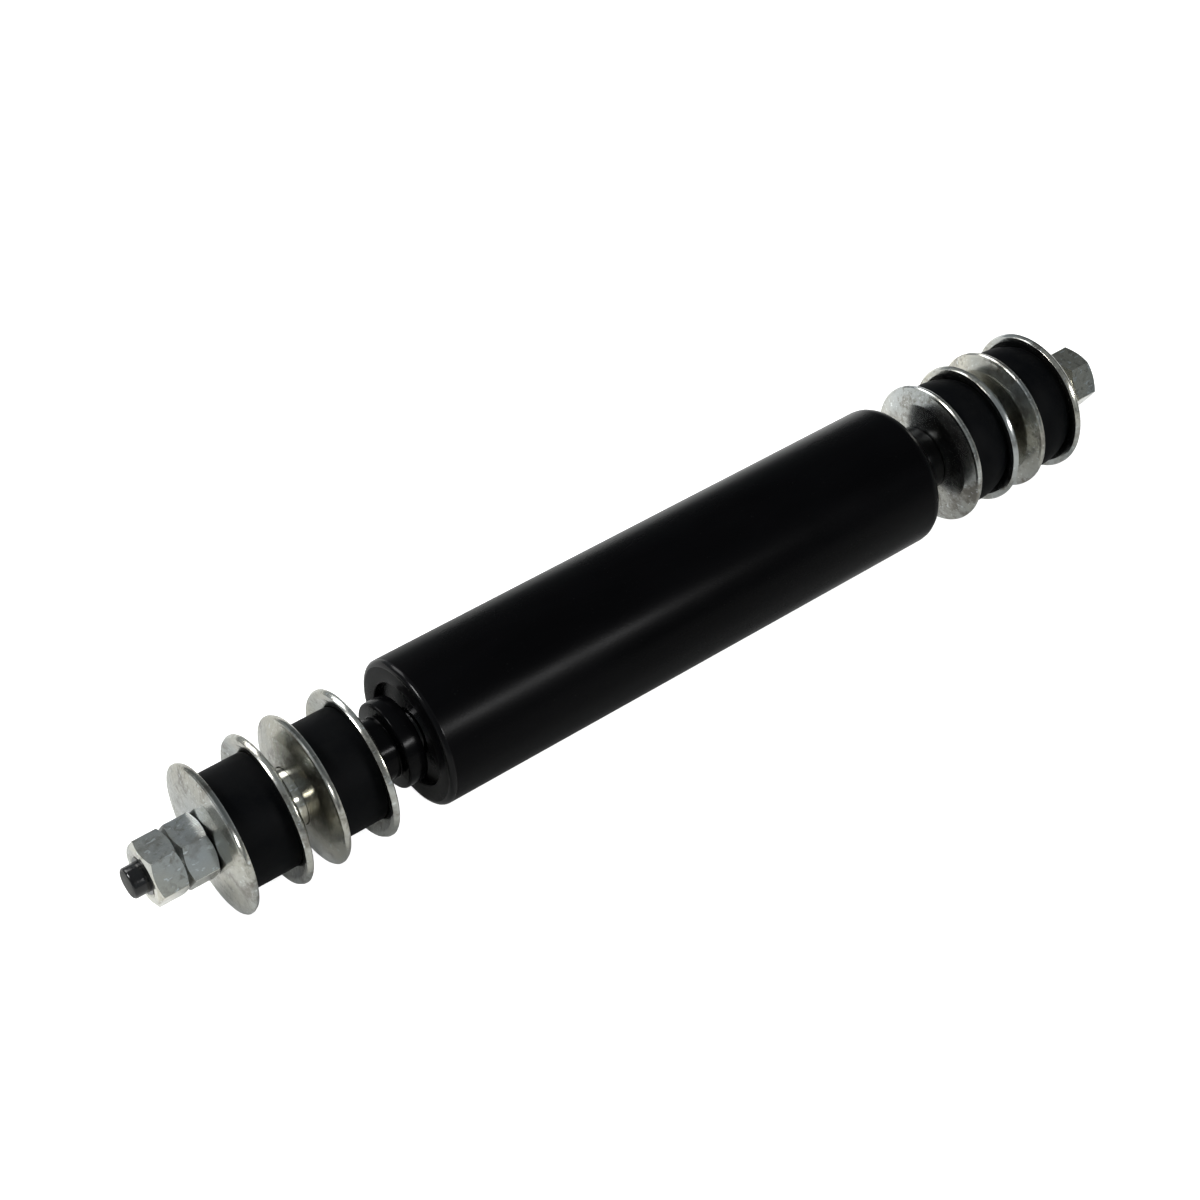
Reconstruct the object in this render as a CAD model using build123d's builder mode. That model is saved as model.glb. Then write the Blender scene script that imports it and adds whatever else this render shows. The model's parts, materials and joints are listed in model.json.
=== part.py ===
from build123d import *

import os

# Truck shock absorber: a twin-tube hydraulic damper with a threaded stud at each end.
# Each stud carries two rubber bushes between dished cup washers, with a bracket gap between them.
# X is the axis, with the rod end at -X. The origin is the centre of the base bracket gap.
# The damper is drawn nearly closed, with its stop flange just short of the tube's lip.

os.makedirs("parts", exist_ok=True)

# Clearances
running_gap = 0.05
fit_gap = 0.05
press_gap = 0.02
thread_gap = 0.05
stop_gap = 0.3

# Reservoir tube
tube_radius = 24.3
tube_wall = 2.3
tube_length = 198.0
tube_base_radius = 5.0
lip_width = 7.1
lip_edge_radius = 1.2

# Studs and nuts
stud_radius = 6.0
point_radius = 4.87
point_length = 4.9
point_chamfer = 0.47
stud_chamfer = 1.0
nut_across_flats = 19.0
nut_height = 10.0
nut_chamfer = 0.9
base_stud_protrusion = 3.0

# Bush stacks
bracket_gap = 4.6
bush_length = 20.1
sheet = 2.4
cup_dish = 5.2
rod_outer_cup_dish = 3.9
rod_cup_radius = 24.3
base_cup_radius = 24.6
rod_bush_inset = 5.7
base_bush_inset = 3.0
base_bush_bulge = 0.5
hub_flat_width = 4.0
sleeve_radius = 9.3
sleeve_bore_gap = 0.15
sleeve_hole_gap = 0.15
stud_hole_gap = 0.3
sleeve_standout = 9.5

# Cup washer section, as distances in from the rim and along the axis
cone_inset = 5.3
rim_roll_width = 1.2
rim_roll_depth = 0.7
rim_edge_inset = 0.6
rim_inner_inset = 2.3
rim_inner_drop = 0.2
cone_share = 0.375

# Base neck and its weld
neck_radius = 11.4
neck_length = 12.1
neck_chamfer = 0.6
weld_width = 3.6
weld_height = 4.0

# Rod and stop collar
rod_radius = 7.0
rod_end_radius = 6.0
rod_chamfer = 0.5
collar_clearance = 1.4
collar_flange_thickness = 6.6
collar_flange_side_gap = 3.0
collar_flange_chamfer = 0.8
collar_boss_radius = 10.0
collar_boss_length = 7.1
collar_seat_depth = 3.1

# Inner cylinder
reservoir_gap = 4.5
cylinder_wall = 1.5

# Rod guide and seal
seal_plate_thickness = 1.5
seal_plate_hole_gap = 1.0
seal_length = 5.0
seal_lip_wall = 2.1
seal_pocket_width = 2.9
seal_web = 1.6
seal_lip_setback = 0.5
seal_lip_flare = 0.5
garter_radius = 0.55
guide_flange_thickness = 6.0
guide_spigot_length = 6.0
guide_bush_wall = 1.5
guide_recess_depth = 1.5
guide_recess_inset = 2.0
guide_drain_count = 6
o_ring_radius = 1.0

# Piston
piston_gap = 0.3
piston_length = 12.0
piston_chamfer = 0.6
piston_boss_wall = 2.0
piston_port_count = 8
band_width = 8.0
band_wall = 1.5
band_play = 0.1
backing_washer_thickness = 2.0
backing_washer_inset = 3.2
shim_washer_thickness = 1.5
shim_washer_wall = 3.0
piston_nut_across_flats = 19.0
piston_nut_height = 8.0
rod_end_protrusion = 0.8
rebound_stop_length = 8.0
rebound_stop_inset = 1.5
rebound_ring_thickness = 3.0
rebound_ring_inset = 2.8
bottom_clearance = 1.5

# Valve discs, shims and star springs, alike on the piston and on the base valve
disc_thickness = 0.6
disc_play = 0.1
spring_space = 1.5
spring_thickness = 0.4
spring_arm_count = 6
spring_slot_width = 3.0
shim_thickness = 0.4
shim_count = 3
shim_step = 0.8
port_ring_depth = 0.8
port_share = 0.4

# Base valve
valve_spigot_length = 5.0
valve_flange_thickness = 4.0
valve_skirt_length = 9.7
valve_skirt_wall = 2.5
valve_slot_count = 6
valve_slot_width = 5.0
valve_edge_inset = 1.9
valve_bolt_radius = 3.0
valve_bolt_head_height = 4.0
valve_bolt_protrusion = 0.8
valve_boss_wall = 2.0
valve_nut_across_flats = 10.0
valve_nut_height = 5.0
valve_port_count = 6

# Radii that follow from those
tube_bore = tube_radius - tube_wall
lip_hole_radius = tube_radius - lip_width
cylinder_radius = tube_bore - reservoir_gap
cylinder_bore = cylinder_radius - cylinder_wall
collar_flange_radius = lip_hole_radius - collar_flange_side_gap
guide_radius = tube_bore - fit_gap
spigot_radius = cylinder_bore - fit_gap
rod_bush_radius = rod_cup_radius - rod_bush_inset
base_bush_radius = base_cup_radius - base_bush_inset
hub_flat_radius = stud_radius + hub_flat_width
sleeve_hole_radius = sleeve_radius + sleeve_hole_gap
stud_hole_radius = stud_radius + stud_hole_gap

# Places along the axis at the base end, outward from the origin
stack_length = bush_length + 2 * sheet
base_inner_seat_x = -bracket_gap / 2
base_outer_seat_x = bracket_gap / 2
neck_end_x = base_inner_seat_x - stack_length
base_outer_hub_x = base_outer_seat_x + stack_length
base_nut_x = base_outer_hub_x + sleeve_standout
base_stud_end_x = base_nut_x + nut_height + base_stud_protrusion
tube_end_x = neck_end_x - neck_length
tube_floor_x = tube_end_x - tube_wall
lip_x = tube_end_x - tube_length

# Places along the axis at the rod end, outward from the tube's lip
collar_rear_x = lip_x - collar_clearance
collar_step_x = collar_rear_x - collar_flange_thickness
rod_inner_hub_x = collar_step_x - collar_boss_length
rod_shoulder_x = rod_inner_hub_x + collar_seat_depth
rod_inner_seat_x = rod_inner_hub_x - stack_length
rod_outer_seat_x = rod_inner_seat_x - bracket_gap
rod_outer_hub_x = rod_outer_seat_x - stack_length
rod_nut_x = rod_outer_hub_x - nut_height
lock_nut_x = rod_nut_x - nut_height
rod_tip_x = lock_nut_x - point_length

# Places along the axis inside the tube, from its lip inward
seal_plate_x = lip_x + tube_wall
seal_x = seal_plate_x + seal_plate_thickness
guide_x = seal_x + seal_length
cylinder_x = guide_x + guide_flange_thickness
guide_end_x = cylinder_x + guide_spigot_length

# Places along the axis inside the tube, from its floor back to the piston
valve_flange_end_x = tube_floor_x - valve_skirt_length
cylinder_end_x = valve_flange_end_x - valve_flange_thickness
valve_face_x = cylinder_end_x - valve_spigot_length
boss_height = disc_thickness + spring_space - spring_thickness
valve_spring_x = valve_face_x - boss_height - spring_thickness
valve_nut_x = valve_spring_x - valve_nut_height
valve_top_x = valve_nut_x - valve_bolt_protrusion
closing_travel = collar_clearance + tube_wall - stop_gap
rod_end_x = valve_top_x - closing_travel - bottom_clearance
piston_nut_x = rod_end_x - rod_end_protrusion - piston_nut_height
shim_washer_x = piston_nut_x - shim_washer_thickness
piston_end_x = shim_washer_x - shim_count * shim_thickness
piston_face_x = piston_end_x - piston_length
intake_spring_x = piston_face_x - boss_height - spring_thickness
rod_step_x = intake_spring_x - backing_washer_thickness
rebound_ring_x = rod_step_x - rebound_ring_thickness
rebound_stop_x = rebound_ring_x - rebound_stop_length
opening_travel = rebound_stop_x - guide_end_x - stop_gap


def ring_face(x, outer_radius, inner_radius):
    """A flat ring across the axis at x."""
    with BuildSketch(Plane.YZ.offset(x)) as face:
        Circle(outer_radius)
        Circle(inner_radius, mode=Mode.SUBTRACT)
    return face.sketch


def outline(points):
    """A closed outline of (x, radius) points on the plane through the axis."""
    with BuildSketch(Plane.XZ) as face:
        with BuildLine():
            Polyline(*points, close=True)
        make_face()
    return face.sketch


def plain_ring(x, length, outer_radius, inner_radius):
    """A plain round ring, tube or washer that starts at x."""
    with BuildPart() as ring:
        extrude(ring_face(x, outer_radius, inner_radius), amount=length)
    return ring


def hex_nut(x, height, across_flats, bore):
    """A hex nut that starts at x, with a corner to each side and both ends chamfered."""
    corner_radius = across_flats / 3**0.5
    flat_radius = across_flats / 2
    with BuildPart() as nut:
        with BuildSketch(Plane.YZ.offset(x)):
            RegularPolygon(corner_radius, 6)
            Circle(bore, mode=Mode.SUBTRACT)
        extrude(amount=height)
        chamfered = outline(
            [
                (x, 0),
                (x, flat_radius),
                (x + nut_chamfer, corner_radius),
                (x + height - nut_chamfer, corner_radius),
                (x + height, flat_radius),
                (x + height, 0),
            ]
        )
        revolve(chamfered, axis=Axis.X, mode=Mode.INTERSECT)
    return nut


def cup_inside(dish, radius):
    """(depth, radius) points of a cup's inner face, from the hub flat to the sheared edge."""
    cone_depth = cone_share * (dish - sheet)
    return [
        (sheet, hub_flat_radius),
        (sheet + cone_depth, radius - rod_bush_inset),
        (dish - rim_inner_drop, radius - rim_inner_inset),
        (dish, radius - rim_edge_inset),
    ]


def cup_washer(hub_x, opens, radius, dish, hole_radius):
    """A dished cup washer. opens is 1 where the hollow side faces +X, and -1 where it faces -X."""
    cone_depth = cone_share * (dish - sheet)
    crease = (hub_x + opens * (dish - sheet), radius - rim_roll_width)
    roll_top = (hub_x + opens * (dish - sheet + rim_roll_depth), radius)
    inside = [(hub_x + opens * depth, r) for depth, r in cup_inside(dish, radius)]
    with BuildPart() as cup:
        with BuildSketch(Plane.XZ):
            with BuildLine():
                Polyline(
                    (hub_x + opens * sheet, hole_radius),
                    (hub_x, hole_radius),
                    (hub_x, hub_flat_radius),
                    (hub_x + opens * cone_depth, radius - cone_inset),
                    crease,
                )
                RadiusArc(crease, roll_top, opens * 2 * rim_roll_width)
                Polyline(roll_top, *reversed(inside), (hub_x + opens * sheet, hole_radius))
            make_face()
        revolve(axis=Axis.X)
    return cup


def bush(start_x, cup_radius, start_dish, radius, bulge):
    """A rubber bush from the cup whose hub is at start_x to the cup one stack further."""

    def end_points(dish):
        """(depth, radius) points of one end, just clear of its cup's cone."""
        inside = cup_inside(dish, cup_radius)
        (near_depth, near_radius), (far_depth, far_radius) = inside[1], inside[2]
        share = (radius - near_radius) / (far_radius - near_radius)
        edge = (near_depth + share * (far_depth - near_depth) + fit_gap, radius)
        cone = (near_depth + fit_gap, near_radius)
        middle = [cone] if radius > near_radius else []
        return [(sheet, sleeve_radius + fit_gap), (sheet, hub_flat_radius), *middle, edge]

    end_x = start_x + stack_length
    left = [(start_x + depth, r) for depth, r in end_points(start_dish)]
    right = [(end_x - depth, r) for depth, r in end_points(cup_dish)]
    middle_x = (left[-1][0] + right[-1][0]) / 2
    with BuildPart() as rubber:
        with BuildSketch(Plane.XZ):
            with BuildLine():
                Polyline(*left)
                ThreePointArc(left[-1], (middle_x, radius + bulge), right[-1])
                Polyline(*reversed(right), left[0])
            make_face()
        revolve(axis=Axis.X)
    return rubber


def port_rings(boss_radius, edge_radius):
    """Radii of the inner and outer port rings and of the disc that covers them."""
    face_width = edge_radius - boss_radius
    return [boss_radius + share * face_width for share in (0.10, 0.38, 0.52, 0.80, 0.92)]


def star_spring(x, hub_radius, bore, arm_radius):
    """A star spring: a clamped hub at x and sloping arms that press on the disc below."""
    tip_x = x + spring_space - spring_thickness
    with BuildPart() as star:
        hub_and_cone = outline(
            [
                (x, bore),
                (x, hub_radius),
                (tip_x, arm_radius),
                (tip_x + spring_thickness, arm_radius),
                (x + spring_thickness, hub_radius),
                (x + spring_thickness, bore),
            ]
        )
        revolve(hub_and_cone, axis=Axis.X)
        slot_length = 2 * (arm_radius - hub_radius)
        with BuildSketch(Plane.YZ.offset(x)):
            with PolarLocations(hub_radius + slot_length / 2 + spring_slot_width / 2, spring_arm_count):
                SlotOverall(slot_length + spring_slot_width, spring_slot_width)
        extrude(amount=spring_space, mode=Mode.SUBTRACT)
    return star


# Reservoir tube: one-piece, closed and rounded at the base, rolled in to a lip at the rod end
with BuildPart() as reservoir_tube:
    with BuildSketch(Plane.XZ):
        with BuildLine():
            Polyline(
                (lip_x, lip_hole_radius),
                (lip_x, tube_radius),
                (tube_end_x, tube_radius),
                (tube_end_x, 0),
                (tube_floor_x, 0),
                (tube_floor_x, tube_bore),
                (seal_plate_x, tube_bore),
                (seal_plate_x, lip_hole_radius),
                close=True,
            )
        tube_section = make_face()
        fillet(tube_section.vertices().group_by(Axis.Y)[-1].sort_by(Axis.X)[0], lip_edge_radius)
        fillet(tube_section.vertices().group_by(Axis.Y)[-1].sort_by(Axis.X)[-1], tube_base_radius)
        fillet(tube_section.vertices().group_by(Axis.Y)[-2].sort_by(Axis.X)[-1], tube_base_radius - tube_wall)
    revolve(axis=Axis.X)
reservoir_tube.part.label = "reservoir_tube"
export_step(reservoir_tube.part, "parts/reservoir_tube.step")

# Base stem: the neck welded to the tube's end, with the base stud
with BuildPart() as base_stem:
    with BuildSketch(Plane.YZ.offset(tube_end_x)):
        Circle(neck_radius)
    extrude(amount=neck_length)
    chamfer(base_stem.edges().filter_by(GeomType.CIRCLE).sort_by(Axis.X)[-1], neck_chamfer)
    with BuildSketch(Plane.YZ.offset(neck_end_x)):
        Circle(stud_radius)
    extrude(amount=base_stud_end_x - neck_end_x)
    chamfer(base_stem.edges().filter_by(GeomType.CIRCLE).sort_by(Axis.X)[-1], stud_chamfer)
base_stem.part.label = "base_stem"
export_step(base_stem.part, "parts/base_stem.step")

# Weld bead in the corner between the neck and the tube's end
with BuildPart() as weld_bead:
    weld_root = (tube_end_x, neck_radius + fit_gap)
    weld_toe = (tube_end_x, neck_radius + fit_gap + weld_width)
    weld_top = (tube_end_x + weld_height, neck_radius + fit_gap)
    with BuildSketch(Plane.XZ):
        with BuildLine():
            Polyline(weld_toe, weld_root, weld_top)
            RadiusArc(weld_toe, weld_top, max(weld_width, weld_height))
        make_face()
    revolve(axis=Axis.X)
weld_bead.part.label = "weld_bead"
export_step(weld_bead.part, "parts/weld_bead.step")

# Cup washers: name, hub place, side that the hollow faces, rim radius, dish and hole
cup_places = {
    "rod_outer_cup": (rod_outer_hub_x, 1, rod_cup_radius, rod_outer_cup_dish, stud_hole_radius),
    "rod_bracket_cup_outer": (rod_outer_seat_x, -1, rod_cup_radius, cup_dish, sleeve_hole_radius),
    "rod_bracket_cup_inner": (rod_inner_seat_x, 1, rod_cup_radius, cup_dish, sleeve_hole_radius),
    "rod_inner_cup": (rod_inner_hub_x, -1, rod_cup_radius, cup_dish, stud_hole_radius),
    "base_inner_cup": (neck_end_x, 1, base_cup_radius, cup_dish, stud_hole_radius),
    "base_bracket_cup_inner": (base_inner_seat_x, -1, base_cup_radius, cup_dish, sleeve_hole_radius),
    "base_bracket_cup_outer": (base_outer_seat_x, 1, base_cup_radius, cup_dish, sleeve_hole_radius),
    "base_outer_cup": (base_outer_hub_x, -1, base_cup_radius, cup_dish, sleeve_hole_radius),
}
for label, sizes in cup_places.items():
    cup = cup_washer(*sizes)
    cup.part.label = label
    export_step(cup.part, f"parts/{label}.step")

# Rubber bushes: name, hub place of the first cup, cup radius, its dish, bush radius and bulge
bush_places = {
    "rod_outer_bush": (rod_outer_hub_x, rod_cup_radius, rod_outer_cup_dish, rod_bush_radius, 0.1),
    "rod_inner_bush": (rod_inner_seat_x, rod_cup_radius, cup_dish, rod_bush_radius, 0.1),
    "base_inner_bush": (neck_end_x, base_cup_radius, cup_dish, base_bush_radius, base_bush_bulge),
    "base_outer_bush": (base_outer_seat_x, base_cup_radius, cup_dish, base_bush_radius, base_bush_bulge),
}
for label, sizes in bush_places.items():
    rubber = bush(*sizes)
    rubber.part.label = label
    export_step(rubber.part, f"parts/{label}.step")

# Distance sleeves: the rod's is clamped between its end cups, the base's runs on to its nut
sleeve_bore = stud_radius + sleeve_bore_gap
rod_sleeve_x = rod_outer_hub_x + sheet
rod_sleeve = plain_ring(rod_sleeve_x, rod_inner_hub_x - sheet - rod_sleeve_x, sleeve_radius, sleeve_bore)
rod_sleeve.part.label = "rod_sleeve"
export_step(rod_sleeve.part, "parts/rod_sleeve.step")
base_sleeve_x = neck_end_x + sheet
base_sleeve = plain_ring(base_sleeve_x, base_nut_x - base_sleeve_x, sleeve_radius, sleeve_bore)
base_sleeve.part.label = "base_sleeve"
export_step(base_sleeve.part, "parts/base_sleeve.step")

# Stud nuts
nut_places = {"rod_nut": rod_nut_x, "rod_lock_nut": lock_nut_x, "base_nut": base_nut_x}
for label, x in nut_places.items():
    nut = hex_nut(x, nut_height, nut_across_flats, stud_radius + thread_gap)
    nut.part.label = label
    export_step(nut.part, f"parts/{label}.step")

# Piston rod: plain point, stud, shoulder in the collar, polished rod and reduced piston end
with BuildPart() as piston_rod:
    rod_runs = [
        (rod_tip_x, lock_nut_x, point_radius),
        (lock_nut_x, rod_shoulder_x, stud_radius),
        (rod_shoulder_x, rod_step_x, rod_radius),
        (rod_step_x, rod_end_x, rod_end_radius),
    ]
    for start_x, end_x, radius in rod_runs:
        with BuildSketch(Plane.YZ.offset(start_x)):
            Circle(radius)
        extrude(amount=end_x - start_x)
    chamfer(piston_rod.edges().filter_by(GeomType.CIRCLE).sort_by(Axis.X)[0], point_chamfer)
    chamfer(piston_rod.edges().filter_by(GeomType.CIRCLE).sort_by(Axis.X)[-1], rod_chamfer)
piston_rod.part.label = "piston_rod"
export_step(piston_rod.part, "parts/piston_rod.step")

# Stop collar: a boss under the inner cup and a flange that closes onto the seal plate
with BuildPart() as rod_collar:
    collar_section = outline(
        [
            (rod_inner_hub_x, stud_radius + fit_gap),
            (rod_inner_hub_x, collar_boss_radius),
            (collar_step_x, collar_boss_radius),
            (collar_step_x, collar_flange_radius),
            (collar_rear_x, collar_flange_radius),
            (collar_rear_x, rod_radius + fit_gap),
            (rod_shoulder_x, rod_radius + fit_gap),
            (rod_shoulder_x, stud_radius + fit_gap),
        ]
    )
    revolve(collar_section, axis=Axis.X)
    rims = rod_collar.edges().filter_by(lambda edge: edge.geom_type == GeomType.CIRCLE)
    chamfer(rims.filter_by(lambda edge: edge.radius > collar_boss_radius), collar_flange_chamfer)
rod_collar.part.label = "rod_collar"
export_step(rod_collar.part, "parts/rod_collar.step")

# Inner cylinder between the rod guide and the base valve
pressure_tube = plain_ring(cylinder_x, cylinder_end_x - cylinder_x, cylinder_radius, cylinder_bore)
pressure_tube.part.label = "pressure_tube"
export_step(pressure_tube.part, "parts/pressure_tube.step")

# Seal plate: the recessed floor inside the rolled lip
seal_plate = plain_ring(
    seal_plate_x, seal_plate_thickness, guide_radius, rod_radius + seal_plate_hole_gap
)
seal_plate.part.label = "seal_plate"
export_step(seal_plate.part, "parts/seal_plate.step")

# Oil seal: a rubber disc with a lip on the rod, in a pocket that holds the garter spring
seal_lip_radius = rod_radius + seal_lip_wall
seal_end_x = seal_x + seal_length
garter_x = seal_end_x - 2 * garter_radius - seal_lip_setback
with BuildPart() as oil_seal:
    with BuildSketch(Plane.XZ):
        with BuildLine():
            Polyline(
                (seal_x, rod_radius + running_gap),
                (seal_x, guide_radius),
                (seal_end_x, guide_radius),
                (seal_end_x, seal_lip_radius + seal_pocket_width),
                (seal_x + seal_web, seal_lip_radius + seal_pocket_width),
                (seal_x + seal_web, seal_lip_radius),
                (seal_end_x - seal_lip_setback, seal_lip_radius),
                (seal_end_x - seal_lip_setback, rod_radius + running_gap + seal_lip_flare),
                (garter_x, rod_radius + running_gap),
                close=True,
            )
        make_face()
        with Locations((garter_x, seal_lip_radius)):
            Circle(garter_radius + fit_gap, mode=Mode.SUBTRACT)
    revolve(axis=Axis.X)
oil_seal.part.label = "oil_seal"
export_step(oil_seal.part, "parts/oil_seal.step")

# Garter spring: the closed ring that presses the lip on the rod
with BuildPart() as garter_spring:
    with BuildSketch(Plane.XZ):
        with Locations((garter_x, seal_lip_radius)):
            Circle(garter_radius)
    revolve(axis=Axis.X)
garter_spring.part.label = "garter_spring"
export_step(garter_spring.part, "parts/garter_spring.step")

# Rod guide: a flange in the tube and a spigot in the cylinder, with oil recess, drains and groove
guide_bush_radius = rod_radius + guide_bush_wall
groove_radius = guide_radius - 2 * o_ring_radius - fit_gap
groove_width = 2 * (o_ring_radius + fit_gap)
groove_x = guide_x + (guide_flange_thickness - groove_width) / 2
drain_pitch_radius = (cylinder_radius + groove_radius) / 2
drain_radius = (groove_radius - cylinder_radius) / 3
recess_radius = drain_pitch_radius + 1.25 * drain_radius
with BuildPart() as rod_guide:
    with BuildSketch(Plane.YZ.offset(guide_x)):
        Circle(guide_radius)
    extrude(amount=guide_flange_thickness)
    with BuildSketch(Plane.YZ.offset(cylinder_x)):
        Circle(spigot_radius)
    extrude(amount=guide_spigot_length)
    extrude(
        ring_face(guide_x, recess_radius, guide_bush_radius + guide_recess_inset),
        amount=guide_recess_depth,
        mode=Mode.SUBTRACT,
    )
    extrude(ring_face(groove_x, guide_radius, groove_radius), amount=groove_width, mode=Mode.SUBTRACT)
    with BuildSketch(Plane.YZ.offset(guide_x)):
        Circle(guide_bush_radius + press_gap)
        with PolarLocations(drain_pitch_radius, guide_drain_count):
            Circle(drain_radius)
    extrude(amount=guide_end_x - guide_x, mode=Mode.SUBTRACT)
rod_guide.part.label = "rod_guide"
export_step(rod_guide.part, "parts/rod_guide.step")

# Guide bush: the plain bearing in the rod guide
guide_bush = plain_ring(guide_x, guide_end_x - guide_x, guide_bush_radius, rod_radius + running_gap)
guide_bush.part.label = "guide_bush"
export_step(guide_bush.part, "parts/guide_bush.step")

# O-ring between the rod guide and the reservoir tube
with BuildPart() as guide_o_ring:
    with BuildSketch(Plane.XZ):
        with Locations((groove_x + groove_width / 2, groove_radius + o_ring_radius)):
            Circle(o_ring_radius)
    revolve(axis=Axis.X)
guide_o_ring.part.label = "guide_o_ring"
export_step(guide_o_ring.part, "parts/guide_o_ring.step")

# Piston: a boss, two rings of ports on each side and a wide groove for its band
piston_radius = cylinder_bore - piston_gap
band_radius = cylinder_bore - running_gap
band_groove_radius = band_radius - band_wall - band_play
piston_boss_radius = rod_end_radius + piston_boss_wall
piston_rings = port_rings(piston_boss_radius, band_groove_radius)
inner_near, inner_far, outer_near, outer_far, intake_edge = piston_rings
band_x = piston_face_x + (piston_length - band_width) / 2
with BuildPart() as piston:
    with BuildSketch(Plane.YZ.offset(piston_face_x)):
        Circle(piston_radius)
    extrude(amount=piston_length)
    chamfer(piston.edges().filter_by(GeomType.CIRCLE), piston_chamfer)
    extrude(
        ring_face(band_x - band_play, piston_radius, band_groove_radius),
        amount=band_width + 2 * band_play,
        mode=Mode.SUBTRACT,
    )
    for near, far in ((inner_near, inner_far), (outer_near, outer_far)):
        extrude(ring_face(piston_face_x, far, near), amount=port_ring_depth, mode=Mode.SUBTRACT)
    extrude(ring_face(piston_end_x, inner_far, inner_near), amount=-port_ring_depth, mode=Mode.SUBTRACT)
    extrude(ring_face(piston_end_x, piston_radius, outer_near), amount=-port_ring_depth, mode=Mode.SUBTRACT)
    with BuildSketch(Plane.YZ.offset(piston_face_x - boss_height)):
        Circle(piston_boss_radius)
    extrude(amount=boss_height)
    with BuildSketch(Plane.YZ.offset(piston_face_x - boss_height)):
        Circle(rod_end_radius + thread_gap)
    extrude(amount=boss_height + piston_length, mode=Mode.SUBTRACT)
    with BuildSketch(Plane.YZ.offset(piston_face_x)):
        with PolarLocations((inner_near + inner_far) / 2, piston_port_count):
            Circle((inner_far - inner_near) * port_share)
        with PolarLocations((outer_near + outer_far) / 2, piston_port_count):
            Circle((outer_far - outer_near) * port_share)
    extrude(amount=piston_length, mode=Mode.SUBTRACT)
piston.part.label = "piston"
export_step(piston.part, "parts/piston.step")

# Piston band: the low-friction ring that runs in the cylinder
piston_band = plain_ring(band_x, band_width, band_radius, band_radius - band_wall)
piston_band.part.label = "piston_band"
export_step(piston_band.part, "parts/piston_band.step")


def valve_disc(face_x, boss_radius, rings, port_count):
    """A check disc on the face at face_x, with windows over the inner port ring."""
    near, far, _, _, edge = rings
    with BuildPart() as disc:
        with BuildSketch(Plane.YZ.offset(face_x - disc_thickness)):
            Circle(edge)
            Circle(boss_radius + disc_play, mode=Mode.SUBTRACT)
            with PolarLocations((near + far) / 2, port_count):
                Circle((far - near) * port_share, mode=Mode.SUBTRACT)
        extrude(amount=disc_thickness)
    return disc


# Intake disc and its star spring on the piston's upper face
intake_disc = valve_disc(piston_face_x, piston_boss_radius, piston_rings, piston_port_count)
intake_disc.part.label = "intake_disc"
export_step(intake_disc.part, "parts/intake_disc.step")
intake_spring = star_spring(
    intake_spring_x, piston_boss_radius, rod_end_radius + thread_gap, outer_far
)
intake_spring.part.label = "intake_spring"
export_step(intake_spring.part, "parts/intake_spring.step")

# Rebound shims under the piston, each smaller than the one before
for index in range(shim_count):
    shim = plain_ring(
        piston_end_x + index * shim_thickness,
        shim_thickness,
        outer_near - index * shim_step,
        rod_end_radius + thread_gap,
    )
    shim.part.label = f"rebound_shim_{index + 1}"
    export_step(shim.part, f"parts/rebound_shim_{index + 1}.step")

# What clamps the piston on the rod
backing_washer = plain_ring(
    rod_step_x,
    backing_washer_thickness,
    cylinder_bore - backing_washer_inset,
    rod_end_radius + thread_gap,
)
backing_washer.part.label = "backing_washer"
export_step(backing_washer.part, "parts/backing_washer.step")
shim_washer = plain_ring(
    shim_washer_x, shim_washer_thickness, rod_end_radius + shim_washer_wall, rod_end_radius + thread_gap
)
shim_washer.part.label = "shim_washer"
export_step(shim_washer.part, "parts/shim_washer.step")
piston_nut = hex_nut(
    piston_nut_x, piston_nut_height, piston_nut_across_flats, rod_end_radius + thread_gap
)
piston_nut.part.label = "piston_nut"
export_step(piston_nut.part, "parts/piston_nut.step")

# Rebound stop: a urethane ring on a steel ring, which meets the rod guide at full length
rebound_ring = plain_ring(
    rebound_ring_x,
    rebound_ring_thickness,
    cylinder_bore - rebound_ring_inset,
    rod_radius + fit_gap,
)
rebound_ring.part.label = "rebound_ring"
export_step(rebound_ring.part, "parts/rebound_ring.step")
with BuildPart() as rebound_stop:
    extrude(
        ring_face(rebound_stop_x, cylinder_bore - rebound_stop_inset, rod_radius + fit_gap),
        amount=rebound_stop_length,
    )
rebound_stop.part.label = "rebound_stop"
export_step(rebound_stop.part, "parts/rebound_stop.step")

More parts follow.
